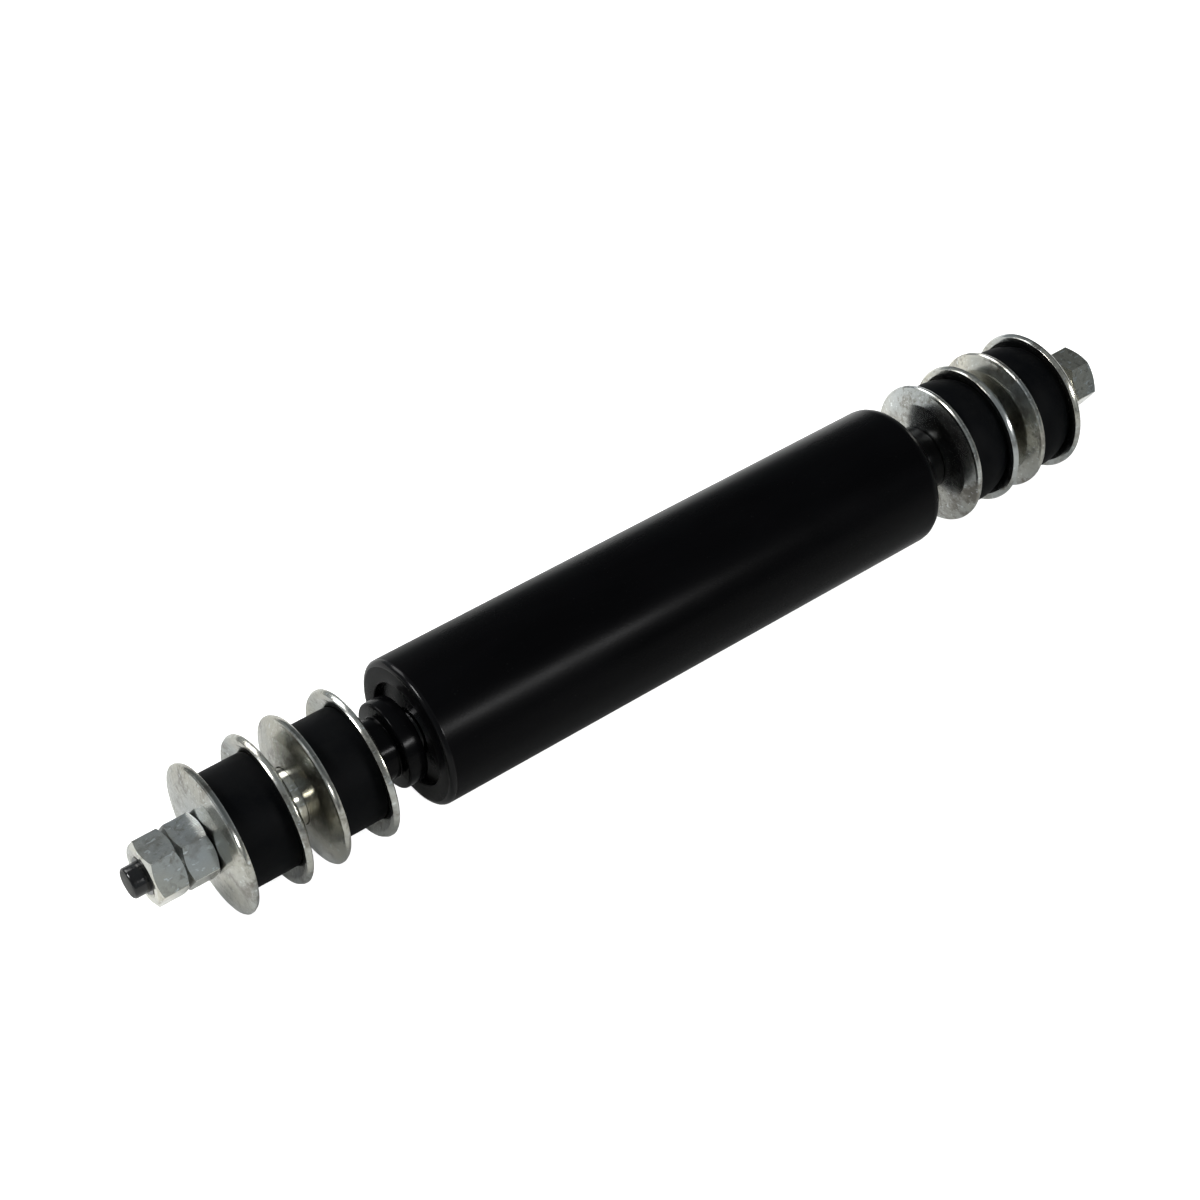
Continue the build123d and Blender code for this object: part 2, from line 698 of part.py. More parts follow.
# Base valve body: a spigot in the cylinder, a flange under its end and a slotted skirt
valve_boss_radius = valve_bolt_radius + valve_boss_wall
valve_rings = port_rings(valve_boss_radius, cylinder_bore - valve_edge_inset)
inner_near, inner_far, outer_near, outer_far, check_edge = valve_rings
with BuildPart() as base_valve_body:
    with BuildSketch(Plane.YZ.offset(valve_face_x)):
        Circle(spigot_radius)
    extrude(amount=valve_spigot_length)
    with BuildSketch(Plane.YZ.offset(cylinder_end_x)):
        Circle(cylinder_radius)
    extrude(amount=valve_flange_thickness)
    extrude(
        ring_face(valve_flange_end_x, cylinder_radius, cylinder_radius - valve_skirt_wall),
        amount=valve_skirt_length,
    )
    for near, far in ((inner_near, inner_far), (outer_near, outer_far)):
        extrude(ring_face(valve_face_x, far, near), amount=port_ring_depth, mode=Mode.SUBTRACT)
    extrude(
        ring_face(valve_flange_end_x, inner_far, inner_near), amount=-port_ring_depth, mode=Mode.SUBTRACT
    )
    with BuildSketch(Plane.YZ.offset(valve_face_x - boss_height)):
        Circle(valve_boss_radius)
    extrude(amount=boss_height)
    with BuildSketch(Plane.YZ.offset(valve_face_x)):
        with PolarLocations((inner_near + inner_far) / 2, valve_port_count):
            Circle((inner_far - inner_near) * port_share)
        with PolarLocations((outer_near + outer_far) / 2, valve_port_count):
            Circle((outer_far - outer_near) * port_share)
    extrude(amount=valve_flange_end_x - valve_face_x, mode=Mode.SUBTRACT)
    with BuildSketch(Plane.YZ.offset(valve_face_x - boss_height)):
        Circle(valve_bolt_radius + thread_gap)
    extrude(amount=valve_flange_end_x - valve_face_x + boss_height, mode=Mode.SUBTRACT)
    with BuildSketch(Plane.YZ.offset(valve_flange_end_x)):
        with PolarLocations(cylinder_radius, valve_slot_count):
            Rectangle(4 * valve_skirt_wall, valve_slot_width)
    extrude(amount=valve_skirt_length, mode=Mode.SUBTRACT)
base_valve_body.part.label = "base_valve_body"
export_step(base_valve_body.part, "parts/base_valve_body.step")

# Base check disc and its star spring on the valve body's upper face
base_check_disc = valve_disc(valve_face_x, valve_boss_radius, valve_rings, valve_port_count)
base_check_disc.part.label = "base_check_disc"
export_step(base_check_disc.part, "parts/base_check_disc.step")
base_check_spring = star_spring(
    valve_spring_x, valve_boss_radius, valve_bolt_radius + thread_gap, outer_far
)
base_check_spring.part.label = "base_check_spring"
export_step(base_check_spring.part, "parts/base_check_spring.step")

# Base shims under the valve body, each smaller than the one before
for index in range(shim_count):
    shim = plain_ring(
        valve_flange_end_x + index * shim_thickness,
        shim_thickness,
        outer_near - index * shim_step,
        valve_bolt_radius + thread_gap,
    )
    shim.part.label = f"base_shim_{index + 1}"
    export_step(shim.part, f"parts/base_shim_{index + 1}.step")

# Bolt and nut that hold the base valve together
valve_head_x = valve_flange_end_x + shim_count * shim_thickness
with BuildPart() as base_valve_bolt:
    with BuildSketch(Plane.YZ.offset(valve_head_x)):
        Circle(valve_boss_radius)
    extrude(amount=valve_bolt_head_height)
    with BuildSketch(Plane.YZ.offset(valve_top_x)):
        Circle(valve_bolt_radius)
    extrude(amount=valve_head_x - valve_top_x)
    chamfer(base_valve_bolt.edges().filter_by(GeomType.CIRCLE).sort_by(Axis.X)[-1], rod_chamfer)
base_valve_bolt.part.label = "base_valve_bolt"
export_step(base_valve_bolt.part, "parts/base_valve_bolt.step")
base_valve_nut = hex_nut(
    valve_nut_x, valve_nut_height, valve_nut_across_flats, valve_bolt_radius + thread_gap
)
base_valve_nut.part.label = "base_valve_nut"
export_step(base_valve_nut.part, "parts/base_valve_nut.step")

print(f"opening travel {opening_travel:.2f} mm, closing travel {closing_travel:.2f} mm")
print(f"overall length {base_stud_end_x - rod_tip_x:.1f} mm from {rod_tip_x:.1f} to {base_stud_end_x:.1f}")
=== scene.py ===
import json
import math

import bmesh
import bpy
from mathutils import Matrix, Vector


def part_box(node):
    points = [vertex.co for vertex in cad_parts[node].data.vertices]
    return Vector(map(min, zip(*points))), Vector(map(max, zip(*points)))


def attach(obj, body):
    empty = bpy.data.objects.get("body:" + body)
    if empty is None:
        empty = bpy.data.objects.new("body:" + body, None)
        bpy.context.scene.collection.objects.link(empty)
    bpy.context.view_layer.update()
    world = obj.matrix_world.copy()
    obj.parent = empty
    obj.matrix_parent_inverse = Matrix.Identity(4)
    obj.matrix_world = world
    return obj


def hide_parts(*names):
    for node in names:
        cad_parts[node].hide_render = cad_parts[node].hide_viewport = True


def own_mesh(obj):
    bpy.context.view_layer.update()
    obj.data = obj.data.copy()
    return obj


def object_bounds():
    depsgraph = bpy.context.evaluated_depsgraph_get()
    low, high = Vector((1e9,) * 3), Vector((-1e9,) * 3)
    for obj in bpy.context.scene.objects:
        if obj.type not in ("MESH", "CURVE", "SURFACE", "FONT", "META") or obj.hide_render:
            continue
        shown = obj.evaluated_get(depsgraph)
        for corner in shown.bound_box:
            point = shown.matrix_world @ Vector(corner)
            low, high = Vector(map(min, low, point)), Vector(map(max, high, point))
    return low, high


# Truck shock absorber, dressed for the picture. Lengths are in metres, and X is the axis.

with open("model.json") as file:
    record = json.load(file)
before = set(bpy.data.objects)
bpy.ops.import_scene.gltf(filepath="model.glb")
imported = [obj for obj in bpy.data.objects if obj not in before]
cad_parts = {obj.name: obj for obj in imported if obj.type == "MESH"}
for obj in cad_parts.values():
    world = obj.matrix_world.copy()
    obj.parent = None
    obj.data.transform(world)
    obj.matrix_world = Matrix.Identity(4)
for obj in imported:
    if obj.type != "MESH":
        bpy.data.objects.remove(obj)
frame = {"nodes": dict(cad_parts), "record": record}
cad_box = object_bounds()

MM = 0.001
AROUND = 192
SHARP_ANGLE = math.radians(32)


def span(node):
    """(low x, high x, radius) of a CAD node that is round about the axis."""
    low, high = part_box(node)
    return low.x, high.x, high.z


def rounded(points, steps=5):
    """(x, r) points with the corners that carry a third value rounded to that radius."""
    smooth = []
    count = len(points)
    for index, point in enumerate(points):
        corner = Vector(point[:2])
        if len(point) < 3:
            smooth.append(corner)
            continue
        before = (Vector(points[index - 1][:2]) - corner).normalized()
        after = (Vector(points[(index + 1) % count][:2]) - corner).normalized()
        half_angle = before.angle(after) / 2
        reach = point[2] / math.tan(half_angle)
        centre = corner + (before + after).normalized() * point[2] / math.sin(half_angle)
        start = (corner + before * reach - centre).normalized()
        end = (corner + after * reach - centre).normalized()
        for step in range(steps + 1):
            smooth.append(centre + start.slerp(end, step / steps) * point[2])
    return smooth


def finish_mesh(name, mesh, body, material, nodes, sharp=SHARP_ANGLE):
    """Shades a mesh, makes its object, gives it its finish and rides it on its body."""
    mesh.shade_smooth()
    mesh.set_sharp_from_angle(angle=sharp)
    piece = bpy.data.objects.new(name, mesh)
    bpy.context.scene.collection.objects.link(piece)
    for finish in material if isinstance(material, list) else [material]:
        mesh.materials.append(finish)
    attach(piece, body)
    if nodes:
        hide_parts(*nodes)


def surface_of(columns, closed_rows):
    """A mesh from columns of points, joined around, and along each column if closed_rows."""
    shape = bmesh.new()
    grid = [[shape.verts.new(point) for point in column] for column in columns]
    rows = len(grid[0])
    for index, column in enumerate(grid):
        following = grid[(index + 1) % len(grid)]
        for row in range(rows if closed_rows else rows - 1):
            below = (row + 1) % rows
            shape.faces.new((column[row], following[row], following[below], column[below]))
    bmesh.ops.remove_doubles(shape, verts=shape.verts, dist=1e-7)
    bmesh.ops.recalc_face_normals(shape, faces=shape.faces)
    if shape.calc_volume(signed=True) < 0:
        bmesh.ops.reverse_faces(shape, faces=shape.faces)
    return shape


def mesh_from(shape, name):
    """A finished mesh datablock from an edit mesh."""
    mesh = bpy.data.meshes.new(name)
    shape.to_mesh(mesh)
    shape.free()
    return mesh


def around(x, r, angle):
    """The point at a place along the axis, a radius and an angle round it from +Y."""
    return (x, r * math.cos(angle), r * math.sin(angle))


def turned(name, outline, body, material, nodes, pick=None):
    """A turned piece from a closed (x, r) outline. pick chooses the material of each face."""
    profile = rounded(outline)
    columns = []
    for index in range(AROUND):
        angle = 2 * math.pi * index / AROUND
        columns.append([around(x, r, angle) for x, r in profile])
    mesh = mesh_from(surface_of(columns, closed_rows=True), name)
    if pick:
        for face in mesh.polygons:
            face.material_index = pick(face.center)
    finish_mesh(name, mesh, body, material, nodes)


# Node helpers for the materials. A colour mix has its colours at these sockets.
MIX_FIRST, MIX_SECOND, MIX_RESULT = 6, 7, 2


def new_material(name):
    """An empty node material with its principled shader."""
    material = bpy.data.materials.new(name)
    material.use_nodes = True
    tree = material.node_tree
    return material, tree, tree.nodes["Principled BSDF"]


def node(tree, kind, **values):
    """A node of a kind. A value sets the socket of that name, or else the node's own setting."""
    made = tree.nodes.new(kind)
    for key, value in values.items():
        socket = key.replace("_", " ")
        if socket in made.inputs:
            made.inputs[socket].default_value = value
        else:
            setattr(made, key, value)
    return made


def noise(tree, scale, detail=4.0, roughness=0.55, stretch=(1, 1, 1)):
    """Noise over the object's own coordinates, in features per metre, stretched along an axis."""
    place = node(tree, "ShaderNodeTexCoord")
    mapping = node(tree, "ShaderNodeMapping")
    mapping.inputs["Scale"].default_value = stretch
    tree.links.new(place.outputs["Object"], mapping.inputs["Vector"])
    made = node(tree, "ShaderNodeTexNoise", Scale=scale, Detail=detail, Roughness=roughness)
    tree.links.new(mapping.outputs["Vector"], made.inputs["Vector"])
    return made.outputs["Fac"]


def ramp(tree, value, stops):
    """A colour ramp over a value, from (place, colour or grey) stops."""
    made = node(tree, "ShaderNodeValToRGB")
    while len(made.color_ramp.elements) < len(stops):
        made.color_ramp.elements.new(0.5)
    for element, (place, shade) in zip(made.color_ramp.elements, stops):
        element.position = place
        element.color = (*shade, 1) if isinstance(shade, tuple) else (shade, shade, shade, 1)
    tree.links.new(value, made.inputs["Fac"])
    return made.outputs["Color"]


def mixed(tree, factor, first, second, blend="MIX"):
    """A colour mix. Each side is a socket or a colour."""
    made = node(tree, "ShaderNodeMix", data_type="RGBA", blend_type=blend)
    for index, side in ((MIX_FIRST, first), (MIX_SECOND, second)):
        if isinstance(side, bpy.types.NodeSocket):
            tree.links.new(side, made.inputs[index])
        else:
            made.inputs[index].default_value = (*side, 1)
    if isinstance(factor, bpy.types.NodeSocket):
        tree.links.new(factor, made.inputs[0])
    else:
        made.inputs[0].default_value = factor
    return made.outputs[MIX_RESULT]


def bumped(tree, shader, heights):
    """Stacks bumps, from (height socket, strength, distance in metres), on the shader's normal."""
    last = None
    for height, strength, distance in heights:
        bump = node(tree, "ShaderNodeBump", Strength=strength, Distance=distance)
        tree.links.new(height, bump.inputs["Height"])
        if last:
            tree.links.new(last, bump.inputs["Normal"])
        last = bump.outputs["Normal"]
    tree.links.new(last, shader.inputs["Normal"])


def paint(name, shade, roughness, gloss, peel):
    """Black enamel over steel: orange peel, faint dust and patches of duller paint."""
    material, tree, shader = new_material(name)
    shader.inputs["Specular IOR Level"].default_value = gloss
    cloud = noise(tree, 60, stretch=(0.35, 1, 1))
    dust = noise(tree, 2600, detail=2)
    base = ramp(tree, cloud, [(0.3, shade), (0.75, tuple(1.7 * c for c in shade))])
    speck = ramp(tree, dust, [(0.74, 0.0), (0.8, 1.0)])
    colour = mixed(tree, speck, base, (0.03, 0.03, 0.028))
    tree.links.new(colour, shader.inputs["Base Color"])
    gloss_map = ramp(tree, cloud, [(0.25, roughness - 0.05), (0.8, roughness + 0.07)])
    tree.links.new(gloss_map, shader.inputs["Roughness"])
    bumped(tree, shader, [(noise(tree, 900, detail=2), peel, 0.00006)])
    return material


def zinc(name, shade, roughness, stain):
    """Bright zinc plate: cloudy tone, water stains, fine scratches and a grained surface."""
    material, tree, shader = new_material(name)
    shader.inputs["Metallic"].default_value = 1.0
    cloud = noise(tree, 40, detail=2)
    mottle = noise(tree, 560, detail=5, roughness=0.7)
    blot = noise(tree, 110, detail=5, roughness=0.65)
    cool = tuple(shade * c for c in (0.96, 1.0, 0.99))
    warm = tuple(shade * c for c in (1.08, 1.05, 0.92))
    base = ramp(tree, cloud, [(0.38, cool), (0.62, warm)])
    patch = ramp(tree, noise(tree, 70, detail=2), [(0.4, 0.15), (0.56, 1.0)])
    specks = ramp(tree, mottle, [(0.5, 0.0), (0.66, 1.0)])
    speckle = mixed(tree, 1.0, specks, patch, blend="MULTIPLY")
    worn = mixed(tree, speckle, base, tuple(0.48 * c for c in warm))
    stained = mixed(
        tree,
        ramp(tree, blot, [(0.53, 0.0), (0.64, stain)]),
        worn,
        tuple(shade * c for c in (0.5, 0.47, 0.42)),
    )
    scratches = noise(tree, 900, detail=3, stretch=(0.5, 1, 1))
    dashes = ramp(tree, scratches, [(0.62, 0.0), (0.66, 0.9)])
    scuffed = mixed(tree, dashes, stained, tuple(1.5 * c for c in cool))
    tree.links.new(scuffed, shader.inputs["Base Color"])
    rough = ramp(tree, mottle, [(0.35, roughness), (0.7, roughness + 0.09)])
    tree.links.new(rough, shader.inputs["Roughness"])
    bumped(tree, shader, [(mottle, 0.14, 0.00005), (scratches, 0.14, 0.00005)])
    return material


def rubber(name):
    """Moulded rubber: charcoal, satin, with a fine skin, faint dust and soft scuffs."""
    material, tree, shader = new_material(name)
    shader.inputs["Specular IOR Level"].default_value = 0.05
    scuff = noise(tree, 130, detail=5, roughness=0.65)
    base = ramp(tree, scuff, [(0.35, (0.0008, 0.0011, 0.0017)), (0.75, (0.0032, 0.0034, 0.0036))])
    tree.links.new(base, shader.inputs["Base Color"])
    rough = ramp(tree, scuff, [(0.3, 0.52), (0.75, 0.68)])
    tree.links.new(rough, shader.inputs["Roughness"])
    bumped(
        tree,
        shader,
        [(noise(tree, 220, detail=2), 0.2, 0.0003), (noise(tree, 3200, detail=3), 0.3, 0.00005)],
    )
    return material


def plain_metal(name, shade, roughness, metallic=1.0):
    """A machined metal with a fine turned grain."""
    material, tree, shader = new_material(name)
    shader.inputs["Metallic"].default_value = metallic
    grain = noise(tree, 1500, detail=2, stretch=(1, 0.1, 0.1))
    base = ramp(tree, grain, [(0.3, tuple(0.85 * c for c in shade)), (0.7, shade)])
    tree.links.new(base, shader.inputs["Base Color"])
    rough = ramp(tree, grain, [(0.3, roughness), (0.7, roughness + 0.1)])
    tree.links.new(rough, shader.inputs["Roughness"])
    bumped(tree, shader, [(grain, 0.1, 0.00004)])
    return material


# Paints: shade, roughness, gloss and orange peel
ENAMEL = (0.0012, 0.0012, 0.0014)
tube_paint = paint("tube_paint", ENAMEL, 0.28, 0.035, 0.25)
lip_paint = paint("lip_paint", ENAMEL, 0.17, 0.14, 0.12)
weld_paint = paint("weld_paint", (0.001, 0.001, 0.0011), 0.24, 0.1, 0.2)
collar_paint = paint("collar_paint", ENAMEL, 0.17, 0.055, 0.2)

# Zinc: shade, roughness and strength of the stains
washer_zinc = zinc("washer_zinc", 0.44, 0.17, 0.95)
nut_zinc = zinc("nut_zinc", 0.56, 0.12, 0.6)
# A lighter zinc for the nuts' corner bevels and chamfers: painted highlight on the edges
edge_highlight_zinc = zinc("edge_highlight_zinc", 0.62, 0.22, 0.8)
# A darker zinc for the chamfers in the groove between the two rod nuts: painted shade
groove_shade_zinc = zinc("groove_shade_zinc", 0.16, 0.3, 0.4)
sleeve_zinc = zinc("sleeve_zinc", 0.56, 0.1, 0.5)

# Other finishes, the last ones for the pieces inside
bush_rubber = rubber("bush_rubber")
black_oxide = plain_metal("black_oxide", (0.0015, 0.0015, 0.0017), 0.12, metallic=0.0)
bare_tip = plain_metal("bare_tip", (0.04, 0.04, 0.038), 0.45)
chrome = plain_metal("chrome", (0.62, 0.62, 0.63), 0.08)
inner_finishes = {
    "black_paint": tube_paint,
    "zinc": washer_zinc,
    "rubber": bush_rubber,
    "rod_steel": chrome,
    "steel": plain_metal("inner_steel", (0.32, 0.32, 0.33), 0.3),
    "sintered_iron": plain_metal("sintered_iron", (0.12, 0.12, 0.12), 0.5),
    "bearing_bronze": plain_metal("bearing_bronze", (0.45, 0.3, 0.14), 0.3),
    "band_plastic": plain_metal("band_plastic", (0.03, 0.03, 0.03), 0.5, metallic=0.0),
    "urethane": plain_metal("urethane", (0.5, 0.38, 0.14), 0.45, metallic=0.0),
}
slot_of = {entry["node"]: entry["material_slot"] for entry in frame["record"]["subparts"]}
for name, cad_object in frame["nodes"].items():
    finish = inner_finishes[slot_of[name]]
    cad_object.data.materials.clear()
    cad_object.data.materials.append(tube_paint if name == "seal_plate" else finish)

# Reservoir tube: rolled lip, rounded base end
TUBE_WALL = 2.3 * MM
LIP_WIDTH = 7.1 * MM
LIP_EDGE = 1.8 * MM
LIP_HOLE_EDGE = 0.5 * MM
BASE_EDGE = 5.0 * MM
tube_start, tube_end, tube_radius = span("reservoir_tube")
tube_bore = tube_radius - TUBE_WALL


def on_lip_edge(centre):
    """The glossier paint of the rolled edge, or the tube's own."""
    from_axis = math.hypot(centre.y, centre.z)
    return 1 if centre.x < tube_start + LIP_EDGE and from_axis > tube_radius - LIP_EDGE else 0


turned(
    "tube_shell",
    [
        (tube_start, tube_radius - LIP_WIDTH, LIP_HOLE_EDGE),
        (tube_start, tube_radius, LIP_EDGE),
        (tube_end, tube_radius, BASE_EDGE),
        (tube_end, 0),
        (tube_end - TUBE_WALL, 0),
        (tube_end - TUBE_WALL, tube_bore),
        (tube_start + TUBE_WALL, tube_bore),
        (tube_start + TUBE_WALL, tube_radius - LIP_WIDTH),
    ],
    "barrel",
    [tube_paint, lip_paint],
    ["reservoir_tube"],
    pick=on_lip_edge,
)

# Base stem: the neck and the stud, whose end is threaded beyond its nut
NECK_RADIUS = 11.4 * MM
NECK_EDGE = 0.6 * MM
STUD_RADIUS = 6.0 * MM
THREAD_PITCH = 1.75 * MM
THREAD_DEPTH = 0.95 * MM
stem_end = span("base_stem")[1]
neck_end = span("base_inner_cup")[0]
base_nut_start = span("base_nut")[0]
stud_core = STUD_RADIUS - THREAD_DEPTH
turned(
    "stem_neck",
    [
        (tube_end, 0),
        (tube_end, NECK_RADIUS),
        (neck_end, NECK_RADIUS, NECK_EDGE),
        (neck_end, stud_core),
        (stem_end, stud_core),
        (stem_end, 0),
    ],
    "barrel",
    weld_paint,
    ["base_stem"],
)

# The stud's M12 thread, from inside its nut to its chamfered free end
THREAD_COLUMNS = 96
THREAD_ROWS_PER_TURN = 16
THREAD_HIDDEN = 5 * MM
THREAD_FLANK_SLOPE = 2.6
THREAD_FLANK_START = 0.15
THREAD_END_INSET = 0.1 * MM


def thread_column(start, end, rows, angle):
    """The points of a thread along the axis, at one angle round it."""
    column = [around(start, 0, angle)]
    for row in range(rows + 1):
        x = start + (end - start) * row / rows
        phase = (x / THREAD_PITCH - angle / (2 * math.pi)) % 1
        flank = min(1.0, max(0.0, THREAD_FLANK_SLOPE * abs(phase - 0.5) - THREAD_FLANK_START))
        crest = STUD_RADIUS - THREAD_DEPTH * flank
        chamfer = stud_core - THREAD_END_INSET + end - x
        column.append(around(x, min(crest, chamfer), angle))
    column.append(around(end, 0, angle))
    return column


thread_start = base_nut_start + THREAD_HIDDEN
thread_rows = max(2, int((stem_end - thread_start) / THREAD_PITCH * THREAD_ROWS_PER_TURN))
thread_columns = [
    thread_column(thread_start, stem_end, thread_rows, 2 * math.pi * index / THREAD_COLUMNS)
    for index in range(THREAD_COLUMNS)
]
thread_mesh = mesh_from(surface_of(thread_columns, closed_rows=False), "base_stud_thread")
finish_mesh("base_stud_thread", thread_mesh, "barrel", nut_zinc, ())

# Weld bead: overlapping lumps round the neck
BEAD_WIDTH = 3.6 * MM
BEAD_HEIGHT = 4.0 * MM
BEAD_COLUMNS = 384
BEAD_LUMPS = 23
BEAD_ROWS = 12
BEAD_LEAST_SWELL = 0.8
BEAD_LUMP_SWELL = 0.13
BEAD_WANDER_SWELL = 0.07
BEAD_TOP = 0.98
BEAD_FULLNESS = 0.8


def bead_column(angle):
    """One section of the bead, swollen and sunk along its run."""
    lump = abs(math.sin(angle * BEAD_LUMPS / 2 + 0.7 * math.sin(3 * angle)))
    wander = 0.5 * math.sin(2 * angle + 1) + 0.5 * math.sin(5 * angle + 2)
    swell = BEAD_LEAST_SWELL + BEAD_LUMP_SWELL * lump + BEAD_WANDER_SWELL * wander
    column = []
    for row in range(BEAD_ROWS + 1):
        turn = math.pi / 2 * row / BEAD_ROWS
        x = tube_end + BEAD_HEIGHT * swell * math.sin(turn) * BEAD_TOP
        r = NECK_RADIUS + BEAD_WIDTH * swell * math.cos(turn) ** BEAD_FULLNESS
        column.append(around(x, r, angle))
    column.append(around(tube_end, NECK_RADIUS, angle))
    return column


bead_columns = [
    bead_column(2 * math.pi * index / BEAD_COLUMNS) for index in range(BEAD_COLUMNS)
]
bead_mesh = mesh_from(surface_of(bead_columns, closed_rows=True), "weld_lumps")
finish_mesh("weld_lumps", bead_mesh, "barrel", weld_paint, ["weld_bead"])

# Cup washers: the same stamped section as the solids, with the burr of the sheared edge rounded
SHEET = 2.4 * MM
HUB_FLAT = 10.0 * MM
CONE_INSET = 5.3 * MM
INNER_CONE_INSET = 5.7 * MM
ROLL_WIDTH = 1.2 * MM
ROLL_DEPTH = 0.7 * MM
ROLL_STEP_X = 0.35
ROLL_STEP_RADIUS = 0.3
EDGE_INSET = 0.6 * MM
INNER_INSET = 2.3 * MM
INNER_DROP = 0.2 * MM
CONE_SHARE = 0.375
STUD_HOLE = 6.3 * MM
SLEEVE_HOLE = 9.45 * MM

# Their edge roundings
HOLE_EDGE = 0.4 * MM
HOLE_FAR_EDGE = 0.3 * MM
HUB_BEND = 6.0 * MM
CONE_BEND = 3.0 * MM
ROLL_START_BEND = 0.15 * MM
ROLL_BEND = 0.25 * MM
BURR_BEND = 0.22 * MM
INNER_BEND = 1.2 * MM
BURR_INSET = 0.02 * MM

# The body that each cup rides on, the way it opens along X, and its hole
cups = {
    "rod_outer_cup": ("rod", 1, STUD_HOLE),
    "rod_bracket_cup_outer": ("rod", -1, SLEEVE_HOLE),
    "rod_bracket_cup_inner": ("rod", 1, SLEEVE_HOLE),
    "rod_inner_cup": ("rod", -1, STUD_HOLE),
    "base_inner_cup": ("barrel", 1, STUD_HOLE),
    "base_bracket_cup_inner": ("barrel", -1, SLEEVE_HOLE),
    "base_bracket_cup_outer": ("barrel", 1, SLEEVE_HOLE),
    "base_outer_cup": ("barrel", -1, SLEEVE_HOLE),
}
for name, (body, opens, hole) in cups.items():
    low_x, high_x, radius = span(name)
    hub_x = low_x if opens > 0 else high_x
    dish = high_x - low_x
    roll = dish - SHEET
    cone = CONE_SHARE * roll
    section = [
        (SHEET, hole, HOLE_FAR_EDGE),
        (0, hole, HOLE_EDGE),
        (0, HUB_FLAT, HUB_BEND),
        (cone, radius - CONE_INSET, CONE_BEND),
        (roll, radius - ROLL_WIDTH, ROLL_START_BEND),
        (roll + ROLL_STEP_X * ROLL_DEPTH, radius - ROLL_STEP_RADIUS * ROLL_WIDTH, ROLL_BEND),
        (roll + ROLL_DEPTH, radius),
        (roll + 2 * ROLL_DEPTH, radius - BURR_INSET),
        (dish, radius - EDGE_INSET, BURR_BEND),
        (dish - INNER_DROP, radius - INNER_INSET, INNER_BEND),
        (SHEET + cone, radius - INNER_CONE_INSET),
        (SHEET, HUB_FLAT),
    ]
    turned(
        f"{name}_plate",
        [(hub_x + opens * point[0], *point[1:]) for point in section],
        body,
        washer_zinc,
        [name],
    )

# Rubber bushes with moulded edges, swollen in the middle: the base ones are barrel-shaped
BUSH_EDGE = 0.6 * MM
BUSH_CONE = 1.1 * MM
BUSH_GAP = 0.05 * MM
BUSH_STEPS = 12
ROD_BULGE = 0.1 * MM
BASE_BULGE = 2.6 * MM
bushes = {
    "rod_outer_bush": ("rod", "rod_sleeve", ROD_BULGE),
    "rod_inner_bush": ("rod", "rod_sleeve", ROD_BULGE),
    "base_inner_bush": ("barrel", "base_sleeve", BASE_BULGE),
    "base_outer_bush": ("barrel", "base_sleeve", BASE_BULGE),
}
for name, (body, sleeve, bulge) in bushes.items():
    start, end, widest = span(name)
    sleeve_radius = span(sleeve)[2]
    edge_radius = widest - bulge
    run = end - start - 2 * BUSH_CONE
    barrel = []
    for step in range(BUSH_STEPS + 1):
        share = step / BUSH_STEPS
        swell = bulge * (1 - (2 * share - 1) ** 2)
        barrel.append((start + BUSH_CONE + run * share, edge_radius + swell))
    section = [
        (start, sleeve_radius + BUSH_GAP),
        (start, HUB_FLAT),
        (*barrel[0], BUSH_EDGE),
        *barrel[1:-1],
        (*barrel[-1], BUSH_EDGE),
        (end, HUB_FLAT),
        (end, sleeve_radius + BUSH_GAP),
    ]
    turned(f"{name}_rubber", section, body, bush_rubber, [name])

# Distance sleeves
SLEEVE_BORE = 6.15 * MM
SLEEVE_EDGE = 0.4 * MM
for name, body in (("rod_sleeve", "rod"), ("base_sleeve", "barrel")):
    start, end, radius = span(name)
    section = [
        (start, SLEEVE_BORE),
        (start, radius, SLEEVE_EDGE),
        (end, radius, SLEEVE_EDGE),
        (end, SLEEVE_BORE),
    ]
    turned(f"{name}_tube", section, body, sleeve_zinc, [name])

# Hex nuts: flats with a fine bevel at each corner, cone chamfers and a countersunk bore; bevels
# and chamfers in lighter zinc as painted highlight, and the inner rod nut's chamfers in darker
# zinc as painted shade
NUT_BORE = 6.05 * MM
NUT_SINK = 0.8 * MM
NUT_FACE_SHARE = 0.94
NUT_CONE_SLOPE = math.tan(math.radians(30))
NUT_CORNER = math.radians(0.8)
NUT_SIDE_STEPS = 14
NUT_SHARP_ANGLE = math.radians(20)

# Faces of a corner's bevel lie this near a corner, and cone faces lean by these shares
NUT_CORNER_REACH = math.radians(5)
NUT_SIDE_LEAN = 0.9
NUT_CONE_LEAN = (0.3, 0.7)


